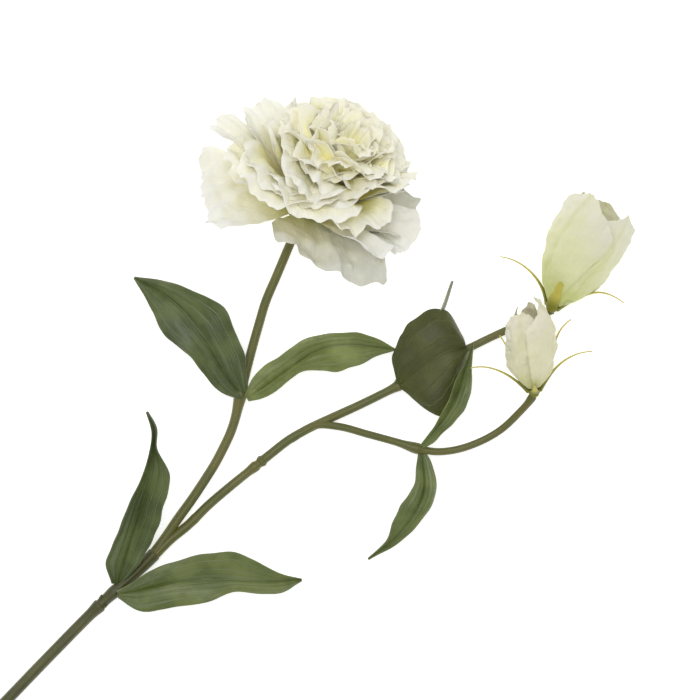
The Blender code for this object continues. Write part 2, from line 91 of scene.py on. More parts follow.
# Leaves: midrib points, half widths to its left and right at LEAF_STATIONS, how far the edges stand above
# the midrib at the base, the middle and the tip, and the ripples of the edges.
LEAF_STATIONS = (0, 0.1, 0.2, 0.35, 0.5, 0.65, 0.8, 0.9, 1)
LEAVES = {
    "leaf_bloom_left": dict(
        midrib=(
            (89.9, 115.4, 4.4), (86.4, 118.9, 4.8), (80.4, 128.4, 6.2), (73.0, 140.8, 7.6),
            (65.8, 149.3, 6.4), (59.3, 154.3, 4.6), (48.2, 160.6, 2.0),
        ),
        left=(1.3, 5.2, 6.8, 7.9, 10.8, 11.2, 7.5, 3.9, 0.35),
        right=(2.2, 7.0, 9.6, 11.2, 12.6, 8.4, 5.2, 2.8, 0.35),
        rise=((0.5, 1.0, 0.0), (1.5, 4.0, 0.5)),
        wave=(0.7, 2.5, 0.4),
    ),
    "leaf_bloom_right": dict(
        midrib=(
            (91.1, 114.6, 5.3), (95.3, 117.4, 5.4), (105.6, 124.7, 6.7), (116.3, 131.9, 8.9),
            (127.3, 134.9, 8.4), (137.0, 134.5, 6.8), (147.4, 133.2, 5.0),
        ),
        left=(1.2, 5.4, 6.2, 5.9, 6.0, 4.8, 4.4, 2.9, 0.35),
        right=(1.2, 3.6, 3.8, 3.6, 7.6, 9.8, 6.9, 3.2, 0.35),
        rise=((1.0, 2.5, 0.5), (1.0, 3.5, 0.0)),
        wave=(0.8, 2.0, 2.0),
    ),
    "leaf_main_left": dict(
        midrib=(
            (42.1, 43.7, 3.0), (44.5, 52.5, 4.6), (48.0, 64.0, 7.4), (51.6, 75.1, 9.7), (54.2, 83.8, 8.9),
            (55.9, 93.5, 7.6), (55.9, 102.6, 6.1), (53.2, 109.6, 5.0),
        ),
        left=(2.4, 6.3, 6.0, 4.9, 4.1, 2.5, 1.3, 1.0, 0.35),
        right=(0.9, 4.4, 6.9, 8.3, 8.4, 7.6, 0.9, 1.3, 0.35),
        rise=((2.0, 4.0, 0.0), (0.5, 5.0, 1.0)),
        wave=(0.8, 2.5, 1.0),
    ),
    "leaf_main_right": dict(
        midrib=(
            (41.9, 40.4, 4.6), (48.6, 41.4, 4.8), (56.2, 43.3, 5.4), (65.7, 45.3, 6.0), (75.3, 46.1, 6.2),
            (92.3, 45.2, 4.6), (101.8, 45.0, 3.2), (112.0, 45.6, 1.6),
        ),
        left=(1.2, 3.5, 6.2, 7.9, 10.0, 10.5, 6.1, 2.6, 0.35),
        right=(1.5, 7.8, 9.1, 9.4, 8.6, 4.3, 4.8, 4.1, 0.35),
        rise=((3.0, 6.0, 0.5), (-1.0, 1.0, 1.0)),
        wave=(0.7, 2.0, 3.0),
    ),
    "leaf_broad": dict(
        midrib=((148.9, 119.7, 5.0), (157.2, 125.4, 8.2), (167.4, 132.0, 10.0), (174.3, 134.0, 8.2)),
        left=(1.0, 8.8, 11.6, 14.4, 16.4, 17.4, 17.0, 14.0, 4.0),
        right=(1.5, 12.5, 18.2, 18.4, 16.0, 13.4, 10.6, 8.0, 3.0),
        rise=((1.0, -2.0, -3.5), (0.5, -1.5, -3.0)),
        wave=(0.5, 1.5, 0.6),
    ),
    "leaf_behind": dict(
        midrib=((147.6, 120.4, 3.4), (157.2, 136.0, 4.0), (164.8, 147.0, 5.0), (169.2, 159.2, 6.5)),
        left=(0.6, 0.5, 0.5, 0.6, 0.6, 0.6, 0.6, 0.5, 0.35),
        right=(0.6, 0.5, 0.5, 0.6, 0.6, 0.6, 0.6, 0.5, 0.35),
        rise=((1.0, 2.8, 0.5), (-1.0, -2.8, -0.5)),
        wave=(0.0, 1.0, 0.0),
    ),
    "leaf_bud_up": dict(
        midrib=(
            (157.2, 96.2, 6.0), (161.0, 100.8, 8.8), (166.6, 108.2, 11.4), (170.4, 116.0, 12.6),
            (174.2, 126.9, 10.8), (176.9, 135.3, 8.5),
        ),
        left=(0.5, 0.8, 1.0, 1.9, 1.8, 2.2, 0.9, 0.5, 0.35),
        right=(0.9, 2.6, 2.8, 4.0, 5.2, 4.4, 2.2, 1.2, 0.35),
        rise=((0.5, 3.0, 0.5), (0.5, 2.0, 0.5)),
        wave=(0.5, 2.0, 0.0),
    ),
    "leaf_bud_down": dict(
        midrib=(
            (157.3, 95.2, 4.8), (158.0, 89.3, 4.8), (158.4, 80.4, 5.0), (155.0, 71.1, 5.0),
            (150.8, 65.4, 4.2), (145.5, 59.6, 3.0), (137.2, 53.4, 1.5),
        ),
        left=(1.0, 3.2, 4.3, 4.6, 3.6, 3.0, 1.7, 0.8, 0.35),
        right=(0.9, 2.3, 3.2, 4.9, 6.3, 4.8, 1.7, 1.0, 0.35),
        rise=((0.5, 2.0, 0.5), (0.5, 2.5, 0.5)),
        wave=(0.5, 2.0, 1.5),
    ),
}

# The bloom: where its petals start, and the way it faces.
BLOOM_BASE = (111.8, 184.0, 12.5)
BLOOM_AXIS = (0.26, 0.71, 0.65)
# Its single petals. Each row is the piece that the petal is part of, its turn round the axis, length, width,
# the lean from the axis at the root and at the edge, cup, ruffle height, ruffle waves, ruffle phase, how much
# longer the right side is than the left, how far the rim bends back, how round its corners are, and frill.
SINGLES = (
    ("outer", -60, 40.5, 48, 54, 102, 0.2, 2.0, 2.4, 0.9, 0.08, 8, 0.12, 1.4),
    # The next two petals take the darker skin of painted shade.
    ("under", 22, 34.5, 49, 58, 97, 0.3, 2.4, 3.2, 4.45, 0.3, 18, 0.2, 1.8),
    ("under", 84, 41, 36, 52, 84, 0.3, 2.4, 2.4, 1.0, 0, 15, 0.4, 1.3),
    ("outer", 114, 39, 34, 40, 62, 0.4, 1.6, 1.7, 0.2, 0, 25, 0.42, 0.9),
    ("outer", 146, 39.5, 34, 40, 60, 0.4, 1.6, 1.6, 3.0, 0, 25, 0.42, 0.9),
    ("outer", 174, 41, 32, 40, 58, 0.4, 1.4, 1.8, 1.7, 0, 25, 0.6, 0.8),
    ("outer", 200, 39, 28, 40, 60, 0.3, 1.4, 1.4, 4.0, 0, 20, 0.6, 0.8),
    ("side", 240, 42, 27, 42, 62, 0.5, 1.4, 1.8, 2.0, 0, 14, 0.42, 0.9),
    ("side", 266, 46, 17, 42, 72, 0.6, 1.2, 1.4, 2.0, 0, 12, 0.46, 0.8),
    ("middle", -66, 38, 34, 42, 60, 0.3, 2.0, 1.9, 1.0, 0, 40, 0.42, 0.9),
    ("middle", -30, 42, 40, 34, 48, 0.3, 2.0, 1.9, 2.0, 0, 70, 0.42, 0.9),
    ("middle", 10, 42, 42, 32, 46, 0.3, 2.2, 1.9, 4.0, 0, 70, 0.42, 0.9),
    ("middle", 48, 41, 36, 38, 60, 0.3, 2.2, 1.9, 0.0, 0, 40, 0.42, 0.9),
    ("middle", -40, 40, 38, 31, 41, 0.3, 1.8, 1.7, 1.1, 0, 60, 0.42, 0.9),
    ("middle", -4, 39.5, 34, 28, 40, 0.3, 1.8, 1.6, 3.1, 0, 60, 0.42, 0.9),
    ("outer", 63, 46, 40, 50, 84, 0.3, 2.4, 2.4, 2.2, 0, 12, 0.4, 1.3),
)
# Its rings of ruffled petals, from outside in: count, first turn, step, length, width, lean at the root and
# at the edge, how far the rim bends back, cup and ruffle height.
RINGS = (
    (7, 60, 51.4, 40, 35, 30, 45, 55, 0.3, 2.0),
    (7, 35, 51.4, 39.8, 34, 26, 39, 60, 0.4, 1.9),
    (7, 10, 51.4, 39.5, 32, 21, 34, 60, 0.4, 1.8),
    (6, -20, 60, 39, 31, 17, 29, 60, 0.5, 1.7),
    (6, 10, 60, 38.5, 28, 13, 24, 60, 0.6, 1.6),
    (5, -15, 72, 38, 26, 9, 19, 60, 0.7, 1.5),
    (5, 25, 72, 37, 22, 6, 14, 60, 0.8, 1.5),
    (4, 50, 90, 36, 18, 3, 9, 55, 1.0, 1.4),
    (3, 75, 120, 34.5, 14, 0, 4, 45, 1.2, 1.2),
)
OUTER_RINGS = 3  # these are in one piece with the single petals of the middle
# The turns between which the outer rings have no petals, so that a yellow hollow stays open.
HOLLOWS = ((20, 75), (285, 318))
RING_SPREAD = (10, 0.05, 1.6, 16)  # how much a petal of a ring differs in turn, size, lean and bend
RING_ROUNDING = 0.42
RING_FRILL = 1.0
RING_WAVES = 1.5
# How far each ring's axis leans to the right, and how far all of them lean away from the front.
CENTRE_TILT = (0.12, 0.14, 0.16, 0.18, 0.2, 0.21, 0.22, 0.23, 0.24)
CENTRE_BACK = 0.11
FRONT_BEND = 0.5  # how much more the rims in front bend over, and how much less those behind
SHORT_SIDE = (-105, 30, 0.13)  # the petals round this turn, over this many degrees, are shorter by this share

# The foot that joins the petals and the green cup, as pairs of radius and height. A sepal is its turn, its
# length, its leans from the axis along it, its width, and how soon it narrows.
BLOOM_FOOT = ((3.6, 0.3), (4.4, 2.5), (4.2, 6.0), (2.6, 10.0))
BLOOM_CUP = ((1.6, -7.0), (2.6, -4.0), (4.2, -1.6), (4.0, 0.0))
BLOOM_SEPALS = (
    (-85, 9, (38, 55), 2.4, 2), (-10, 9, (60, 80), 2.4, 2), (60, 9, (60, 85), 2.4, 2),
    (130, 8, (40, 60), 2.4, 2), (210, 8, (40, 60), 2.4, 2),
)

# Buds. profile is the radius at shares of the height. A petal is its turn, its share of the height, how far
# one edge stands over the next petal, how pointed it is, how far its tip leans out, and how far all of it
# stands out. crumple is the height of the creases.
BUD_PETAL_SPAN = 150
BUD_FOOT = ((1.8, 0.3), (2.6, 1.5), (3.2, 4.0), (2.0, 6.0))
BUDS = {
    "upper_bud": dict(
        base=(207.2, 150.0, 8.7),
        axis=(0.45, 0.865, 0.22),
        height=44,
        twist=25,
        profile=(
            (0, 0.06, 0.14, 0.24, 0.38, 0.55, 0.8, 1.0), (2.0, 4.2, 7.4, 9.6, 11.9, 13.6, 13.4, 11.4),
        ),
        petals=(
            (-58, 1.06, 0.3, 0.26, 0.0, 1.0),
            (24, 1.02, 0.5, 0.3, 0.5, 0.2),
            (88, 0.9, 0.3, 0.3, 2.6, -0.6),
            (155, 0.98, 0.5, 0.25, 0.0, 0.0),
            (-145, 0.98, 0.2, 0.28, 0.0, 0.0),
        ),
        crumple=0.4,
        sepals=(
            (-96, 27, (32, 60, 84, 112), 3.8, 1.5),
            (84, 28, (24, 34, 43, 80, 102), 4.2, 1.4),
            (-8, 15, (36, 38, 28), 4.8, 0.35),
            (130, 20, (32, 40, 28), 3.2, 1.5),
            (205, 9, (50, 40), 3, 1.5),
        ),
        cup=((1.5, -2.6), (2.3, -1.4), (3.0, -0.4), (2.8, 0.0)),
    ),
    "lower_bud": dict(
        base=(199.8, 118.4, 12.2),
        axis=(-0.11, 0.96, 0.26),
        height=36,
        twist=24,
        profile=((0, 0.12, 0.22, 0.35, 0.5, 0.7, 0.85, 1.0), (1.8, 4.8, 6.9, 8.0, 8.2, 7.9, 6.2, 3.4)),
        petals=(
            (50, 1.0, -1.0, 0.3, 0.0, 1.5),
            (-46, 0.87, -0.6, 0.12, 2.5, 0.0),
            (130, 0.92, -0.5, 0.3, 0.0, 0.0),
            (225, 0.9, -0.5, 0.3, 0.0, 0.0),
        ),
        crumple=0.7,
        sepals=(
            (-88, 25, (34, 47, 66, 97), 3.2, 1.5),
            (86, 26, (32, 42, 66, 95), 3.2, 1.5),
            (115, 30, (44, 18, 26, 72), 3.0, 1.5),
            (232, 24, (50, 20, 16, 40), 2.8, 1.5),
            (0, 7, (60, 40), 3.4, 1.0),
        ),
        cup=((1.4, -3.0), (2.2, -1.5), (2.9, -0.4), (2.7, 0.0)),
    ),
}


# Lines and random waves


def unit(vector):
    vector = np.asarray(vector, float)
    return vector / np.linalg.norm(vector)


def hermite(at, stations, values):
    """Values at the places in at, on a smooth curve through values at the stations."""
    stations = np.asarray(stations, float)
    values = np.asarray(values, float)
    slopes = np.gradient(values, stations, axis=0)
    index = np.clip(np.searchsorted(stations, at, side="right") - 1, 0, len(stations) - 2)
    span = np.diff(stations)[index]
    t = (at - stations[index]) / span
    if values.ndim > 1:
        span, t = span[..., None], t[..., None]
    return (
        (2 * t**3 - 3 * t**2 + 1) * values[index]
        + (t**3 - 2 * t**2 + t) * span * slopes[index]
        + (-2 * t**3 + 3 * t**2) * values[index + 1]
        + (t**3 - t**2) * span * slopes[index + 1]
    )


def length_along(points):
    return np.r_[0, np.cumsum(np.linalg.norm(np.diff(points, axis=0), axis=1))]


def smooth(points, count):
    """Points along a smooth curve through the given points, evenly spaced along it."""
    points = np.asarray(points, float)
    reach = length_along(points)
    curve = hermite(np.linspace(0, reach[-1], 400), reach, points)
    along = length_along(curve)
    even = np.linspace(0, along[-1], count)
    return np.stack([np.interp(even, along, curve[:, k]) for k in range(3)], axis=1)


def tangents(points):
    ways = np.gradient(points, axis=0)
    return ways / np.linalg.norm(ways, axis=1)[:, None]


def ripple(at, seed, pitch, terms=5):
    """A smooth random wave of about unit height. pitch is the usual distance from crest to crest."""
    draw = np.random.default_rng(seed)
    total = 0
    for _ in range(terms):
        total = total + draw.uniform(0.5, 1) * np.sin(
            2 * math.pi * (at / (pitch * draw.uniform(0.6, 1.5)) + draw.random())
        )
    return total / terms**0.5


# Meshes


class Shell:
    """Gathers closed pieces into one mesh, each point with a place: across, along and an own number."""

    def __init__(self):
        self.points, self.faces, self.places, self.count = [], [], [], 0

    def add(self, points, faces, places):
        self.points.append(points)
        self.faces.extend(tuple(k + self.count for k in face) for face in faces)
        self.places.append(places)
        self.count += len(points)

    def build(self, name, material, slot, *nodes):
        points = np.concatenate(self.points) * MM
        places = np.concatenate(self.places)
        mesh = bpy.data.meshes.new(name)
        mesh.from_pydata(points.tolist(), [], self.faces)
        place = mesh.attributes.new("place", "FLOAT_VECTOR", "POINT")
        place.data.foreach_set("vector", places.astype(np.float32).ravel())
        mesh.shade_smooth()
        mesh.set_sharp_from_angle(angle=math.radians(60))
        mesh.materials.append(material)
        obj = bpy.data.objects.new(name, mesh)
        bpy.context.scene.collection.objects.link(obj)
        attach(obj, "root")
        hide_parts(*nodes)


def grid_faces(rows, columns, start, flip):
    """Four-sided faces between the points of a grid."""
    k = start + np.arange(rows * columns).reshape(rows, columns)
    faces = np.stack([k[:-1, :-1], k[:-1, 1:], k[1:, 1:], k[1:, :-1]], axis=-1).reshape(-1, 4)
    return faces[:, ::-1] if flip else faces


def add_blade(shell, sheet, across, along, thickness, seed):
    """Adds a thin closed blade round a grid of points, bent up softly where it would go below the table."""
    rows, columns = sheet.shape[:2]
    spread = thickness[0] + (thickness[1] - thickness[0]) * np.maximum(along, np.abs(across) ** 4)
    over = sheet[:, :, 2] - thickness[0] / 2
    sheet = sheet.copy()
    sheet[:, :, 2] = thickness[0] / 2 + 0.5 * (over + np.sqrt(over**2 + TABLE_SOFTNESS))
    normals = np.cross(np.gradient(sheet, axis=0), np.gradient(sheet, axis=1))
    normals /= np.linalg.norm(normals, axis=2)[:, :, None] + 1e-9
    shift = normals * spread[:, :, None] / 2
    points = np.concatenate([(sheet + shift).reshape(-1, 3), (sheet - shift).reshape(-1, 3)])
    points[:, 2] = np.maximum(points[:, 2], 0.02)
    half = rows * columns
    k = np.arange(half).reshape(rows, columns)
    rim = np.concatenate([k[0, :], k[1:, -1], k[-1, -2::-1], k[-2:0:-1, 0]])
    after = np.roll(rim, -1)
    sides = np.stack([after, rim, rim + half, after + half], axis=1)
    faces = np.concatenate([
        grid_faces(rows, columns, 0, False), grid_faces(rows, columns, half, True), sides,
    ])
    own = np.full(half, np.random.default_rng(seed).random())
    place = np.stack([across.ravel(), along.ravel(), own], axis=1)
    shell.add(points, faces.tolist(), np.concatenate([place, place]))


def add_rings(shell, rings, places):
    """Adds a closed tube through rings of points, all with the same number of points."""
    count, sides = rings.shape[:2]
    k = np.arange(count * sides).reshape(count, sides)
    turned = np.roll(k, -1, axis=1)
    faces = np.stack([k[:-1], turned[:-1], turned[1:], k[1:]], axis=-1).reshape(-1, 4).tolist()
    faces.append(k[0][::-1].tolist())
    faces.append(k[-1].tolist())
    shell.add(rings.reshape(-1, 3), faces, places.reshape(-1, 3))


# Forms


def leaf_sheet(name, midrib, left, right, rise, wave, rows=72, columns=33):
    """The middle surface of a leaf, with its long veins pressed in and its edge slightly uneven."""
    seed = sum(map(ord, name))
    line = smooth(midrib, rows)
    ways = tangents(line)
    across = np.stack([-ways[:, 1], ways[:, 0], np.zeros(rows)], axis=1)
    across /= np.linalg.norm(across, axis=1)[:, None]
    t = np.linspace(0, 1, rows)[:, None] * np.ones((1, columns))
    u = np.ones((rows, 1)) * np.linspace(-1, 1, columns)
    half = np.where(u > 0, hermite(t, LEAF_STATIONS, left), hermite(t, LEAF_STATIONS, right))
    narrow = np.minimum(1, 8 / half)
    uneven = 0.03 * narrow * ripple(t + 0.3 * np.sign(u), seed, 0.22)
    half = half * (1 + uneven * np.minimum(1, 6 * (1 - t)))
    lift = np.where(
        u > 0, hermite(t, (0, 0.5, 1), rise[0]), hermite(t, (0, 0.5, 1), rise[1])
    )
    edge = wave[0] * np.sin(2 * math.pi * wave[1] * t + wave[2] + 1.5 * u) * u**2
    edge *= np.minimum(1, 4 * (1 - t)) * np.minimum(1, 5 * t)
    bulge = 0.38 * np.sqrt(half) * np.sin(math.pi * np.abs(u)) * np.minimum(1, 5 * t)
    pressed = sum(
        depth * np.exp(-(((np.abs(u) - at) * half / 0.45) ** 2))
        for at, depth in ((0, 0.55), (0.36, 0.3), (0.68, 0.2))
    )
    pressed *= narrow**2 * np.minimum(1, 0.35 * half) * (1 - 0.5 * t)
    sheet = line[:, None, :] + across[:, None, :] * (half * u)[:, :, None]
    creases = 0.11 * narrow * rumple(half * u * 2, 28 * t, seed + 5, 9)
    creases = creases * np.minimum(1, 0.3 * half) * np.minimum(1, 6 * t)
    sheet[:, :, 2] += lift * u**2 + edge + bulge - pressed + creases
    return sheet, u, t


def head_frame(axis):
    """The axis of a head, the way square to it that faces up most, and the way to the right of that."""
    axis = unit(axis)
    front = unit(np.array((0, 0, 1)) - axis[2] * axis)
    return axis, front, np.cross(axis, front)


def rumple(x, y, seed, pitch=9.0, terms=6):
    """A smooth random relief of about unit height over places in mm, like crumpled tissue."""
    draw = np.random.default_rng(seed)
    total = 0
    for _ in range(terms):
        turn, start, size = draw.random(3)
        reach = 2 * math.pi / (pitch * (0.6 + 0.9 * size))
        total = total + np.sin(
            reach * (x * math.cos(math.pi * turn) + y * math.sin(math.pi * turn)) + 2 * math.pi * start
        )
    return total / terms**0.5


def petal_sheet(
    base, axis, turn, length, width, lean, cup, ruffle, waves, phase, root, skew, recurve, rounding, frill,
    seed, rows=34, columns=84,
):
    """A fan-shaped petal that leans out from the axis, ruffled, crumpled and bent back at its rim."""
    axis, front, side = head_frame(axis)
    turn = math.radians(turn)
    outward = math.cos(turn) * front + math.sin(turn) * side
    across = -math.sin(turn) * front + math.cos(turn) * side
    steps = np.linspace(0, 1.5, 76)
    angle = np.radians(
        lean[0] + (lean[1] - lean[0]) * steps**0.8 + recurve * (np.maximum(0, steps - 0.55) / 0.45) ** 1.3
    )
    radial = root[0] + np.r_[0, np.cumsum(np.sin(angle[:-1]))] * length / 50
    height = root[1] + np.r_[0, np.cumsum(np.cos(angle[:-1]))] * length / 50
    v = (1 - (1 - np.linspace(0, 1, rows)) ** 1.35)[:, None] * np.ones((1, columns))
    even = np.linspace(-1, 1, columns)
    u = np.ones((rows, 1)) * (0.4 * even + 0.6 * np.sin(math.pi / 2 * even))
    w = u + 0.13 * np.sin(2.6 * v + 3 * phase) * v * (1 - u**2)
    lobes = 0.024 * ripple(w, seed, 0.55) + 0.01 * ripple(w, seed + 1, 0.22)
    s = v * (1 - rounding * (1 - np.sqrt(1 - np.abs(u) ** 3)) * v + skew * u * v) + lobes * v**6
    s = np.clip(s, 0, 1.5)
    r, h, lean_here = (np.interp(s, steps, values) for values in (radial, height, angle))
    half = 2.0 + (width / 2 - 2.0) * np.sin(math.pi / 2 * np.minimum(s, 1)) ** 1.1
    swing = math.pi * waves * (w + 0.1 * np.sin(4.1 * w + phase)) + phase + 1.2 * s
    fold = ruffle * (0.25 * s**1.5 + 0.75 * s**3.5) * np.sin(swing)
    fold += frill * (1.0 * s**4 * ripple(w, seed + 2, 0.55) + 0.8 * s**7 * ripple(w, seed + 3, 0.34))
    fold += frill * s**1.5 * (0.7 * rumple(half * u, length * s, seed + 4) + 0.16 * rumple(
        half * u, length * s, seed + 5, 3.5
    ))
    bend = cup * half * u**2 * s
    sideways = half * u * (1 - 0.12 * cup * u**2) + 0.15 * ruffle * s**4 * np.sin(2 * swing)
    inward = (
        -np.cos(lean_here)[:, :, None] * outward + np.sin(lean_here)[:, :, None] * axis
    )
    sheet = (
        np.asarray(base) + r[:, :, None] * outward + h[:, :, None] * axis
        + sideways[:, :, None] * across + inward * (fold + bend)[:, :, None]
    )
    return sheet, u, v


def bud_sheet(
    base, axis, turn, height, profile, slope, point, twist, tilt, lift, crumple, seed, rows=60, columns=60,
):
    """A petal wrapped round a bud. slope lifts one edge over its neighbour, point draws its tip up."""
    axis, front, side = head_frame(axis)
    v = np.linspace(0, 1, rows)[:, None] * np.ones((1, columns))
    u = np.ones((rows, 1)) * np.linspace(-1, 1, columns)
    top = 1 - point * np.abs(u) ** 1.4 + 0.012 * ripple(u, seed, 0.5)
    top -= 0.01 * np.abs(ripple(u, seed + 1, 0.25))
    h = 0.025 + v * (top - 0.025)
    r = hermite(h, profile[0], profile[1]) + tilt * h**8
    r += (lift + slope * u * np.where(slope * u > 0, 1, 0.3)) * np.minimum(1, 4 * h)
    r += 0.12 * v * ripple(u, seed + 2, 0.7) + 0.6 * v**6 * ripple(u, seed + 3, 0.6)
    r -= 0.3 * np.exp(-((u / 0.06) ** 2)) * np.minimum(1, 3 * h) * (1 - 0.6 * h)
    psi = np.radians(turn + u * BUD_PETAL_SPAN / 2 * (0.75 + 0.25 * v) + twist * h)
    around = profile[1][4] * np.sin(psi / 2) * 2
    relief = rumple(around, height * h * 0.7, 71, 8) + 0.3 * rumple(around, height * h, 72, 3.5)
    r += crumple * np.minimum(1, 3 * h) * relief
    out = np.cos(psi)[:, :, None] * front + np.sin(psi)[:, :, None] * side
    return np.asarray(base) + axis * (h * height)[:, :, None] + r[:, :, None] * out, u, v


def sepal_sheet(base, axis, turn, length, leans, width, taper, start, rows=30, columns=9):
    """A narrow green blade that leaves the cup of a head and bends through the given leans."""
    axis, front, side = head_frame(axis)
    turn = math.radians(turn)
    outward = math.cos(turn) * front + math.sin(turn) * side
    across = -math.sin(turn) * front + math.cos(turn) * side
    t = np.linspace(0, 1, rows)
    angle = np.radians(np.interp(t + 0.5 / rows, np.linspace(0, 1, len(leans)), leans))
    ways = np.sin(angle)[:, None] * outward + np.cos(angle)[:, None] * axis
    line = np.asarray(base) + start[0] * outward + start[1] * axis
    line = line + np.concatenate([[np.zeros(3)], np.cumsum(ways[:-1], axis=0)]) * length / (rows - 1)
    half = 0.22 + (width / 2 - 0.22) * (1 - t) ** taper
    u = np.ones((rows, 1)) * np.linspace(-1, 1, columns)
    normal = -np.cos(angle)[:, None] * outward + np.sin(angle)[:, None] * axis
    sheet = (
        line[:, None, :] + (half[:, None] * u)[:, :, None] * across
        + (0.35 * half[:, None] * u**2)[:, :, None] * normal[:, None, :]
    )
    return sheet, u, t[:, None] * np.ones((1, columns))


def add_turned(shell, base, axis, profile, seed, sides=28, rows=14):
    """Adds a shape turned about the axis, through pairs of radius and height."""
    axis, front, side = head_frame(axis)
    profile = np.asarray(profile, float)
    reach = length_along(profile)
    curve = hermite(np.linspace(0, reach[-1], rows), reach, profile)
    turn = 2 * math.pi * np.arange(sides) / sides
    out = np.cos(turn)[:, None] * front + np.sin(turn)[:, None] * side
    rings = (
        np.asarray(base) + curve[:, 1][:, None, None] * axis + curve[:, 0][:, None, None] * out[None]
    )
    places = np.zeros((rows, sides, 3))
    places[:, :, 0] = np.sin(turn)[None]
    places[:, :, 2] = np.random.default_rng(seed).random()
    add_rings(shell, rings, places)


def add_stem(shell, points, radii, seed, slant=0.0):
    """Adds a round stem, flattened where it lies on the table, with faint ridges along it."""
    ways = tangents(points)
    along = length_along(points)
    across = np.cross((0, 0, 1), ways)
    across /= np.linalg.norm(across, axis=1)[:, None]
    above = np.cross(ways, across)
    turn = 2 * math.pi * np.arange(STEM_SIDES) / STEM_SIDES
    ridges = 1 + 0.012 * np.sin(5 * turn + 0.05 * along[:, None]) + 0.01 * np.sin(9 * turn + seed)
    out = np.cos(turn)[:, None] * across[:, None, :] + np.sin(turn)[:, None] * above[:, None, :]
    rings = points[:, None, :] + out * (radii[:, None] * ridges)[:, :, None]
    rings[0] += (slant * radii[0] * np.sin(turn))[:, None] * ways[0]
    rings[:, :, 2] = np.maximum(rings[:, :, 2], 0.0)
    places = np.zeros((*rings.shape[:2], 3))
    places[:, :, 0] = np.sin(turn)[None]
    places[:, :, 1] = along[:, None] / 100
    places[:, :, 2] = np.cos(turn)[None]
    add_rings(shell, rings, places)


# Materials


def new_material(name, **sockets):
    """A material with a Principled shader, and the place attribute's three numbers."""
    material = bpy.data.materials.new(name)
    material.use_nodes = True
    tree = material.node_tree
    shader = tree.nodes["Principled BSDF"]
    for socket, value in sockets.items():
        shader.inputs[socket.replace("_", " ")].default_value = value
    attribute = tree.nodes.new("ShaderNodeAttribute")
    attribute.attribute_name = "place"
    parts = tree.nodes.new("ShaderNodeSeparateXYZ")
    tree.links.new(attribute.outputs["Vector"], parts.inputs[0])
    return material, tree, shader, parts.outputs


def put(tree, socket, value):
    """Sets a socket to a number or a colour, or links it to another node's socket."""
    if isinstance(value, bpy.types.NodeSocket):
        tree.links.new(value, socket)
    else:
        socket.default_value = value


def maths(tree, operation, *values):
    node = tree.nodes.new("ShaderNodeMath")
    node.operation = operation
    for socket, value in zip(node.inputs, values):
        put(tree, socket, value)
    return node.outputs[0]


def mixed(tree, share, first, second, blend="MIX"):
    node = tree.nodes.new("ShaderNodeMix")
    node.data_type = "RGBA"
    node.blend_type = blend
    put(tree, node.inputs["Factor"], share)
    put(tree, node.inputs["A"], first if isinstance(first, bpy.types.NodeSocket) else (*first, 1))
    put(tree, node.inputs["B"], second if isinstance(second, bpy.types.NodeSocket) else (*second, 1))
    return node.outputs["Result"]


def spread(tree, value, low, high):
    """The share of the way that a value is from low to high, held between 0 and 1."""
    node = tree.nodes.new("ShaderNodeMapRange")
    node.interpolation_type = "SMOOTHSTEP"
    put(tree, node.inputs["Value"], value)
    node.inputs["From Min"].default_value = low
    node.inputs["From Max"].default_value = high
    return node.outputs["Result"]


def vector(tree, x, y, z):
    node = tree.nodes.new("ShaderNodeCombineXYZ")
    for socket, value in zip(node.inputs, (x, y, z)):
        put(tree, socket, value)
    return node.outputs[0]


def noise(tree, place, scale, detail=3.0, roughness=0.55):
    node = tree.nodes.new("ShaderNodeTexNoise")
    tree.links.new(place, node.inputs["Vector"])
    node.inputs["Scale"].default_value = scale
    node.inputs["Detail"].default_value = detail
    node.inputs["Roughness"].default_value = roughness
    return node.outputs["Fac"]


def object_place(tree):
    node = tree.nodes.new("ShaderNodeTexCoord")
    return node.outputs["Object"]


def bump(tree, shader, height, distance, strength=1.0):
    node = tree.nodes.new("ShaderNodeBump")
    node.inputs["Distance"].default_value = distance
    node.inputs["Strength"].default_value = strength
    tree.links.new(height, node.inputs["Height"])
    tree.links.new(node.outputs[0], shader.inputs["Normal"])


def vein_lines(tree, across, veins, sharpness):
    """1 on evenly spaced lines from the middle out, falling off to 0 between them."""
    wave = maths(tree, "ABSOLUTE", maths(tree, "SINE", maths(tree, "MULTIPLY", across, math.pi * veins)))
    return maths(tree, "POWER", maths(tree, "SUBTRACT", 1.0, wave), sharpness)


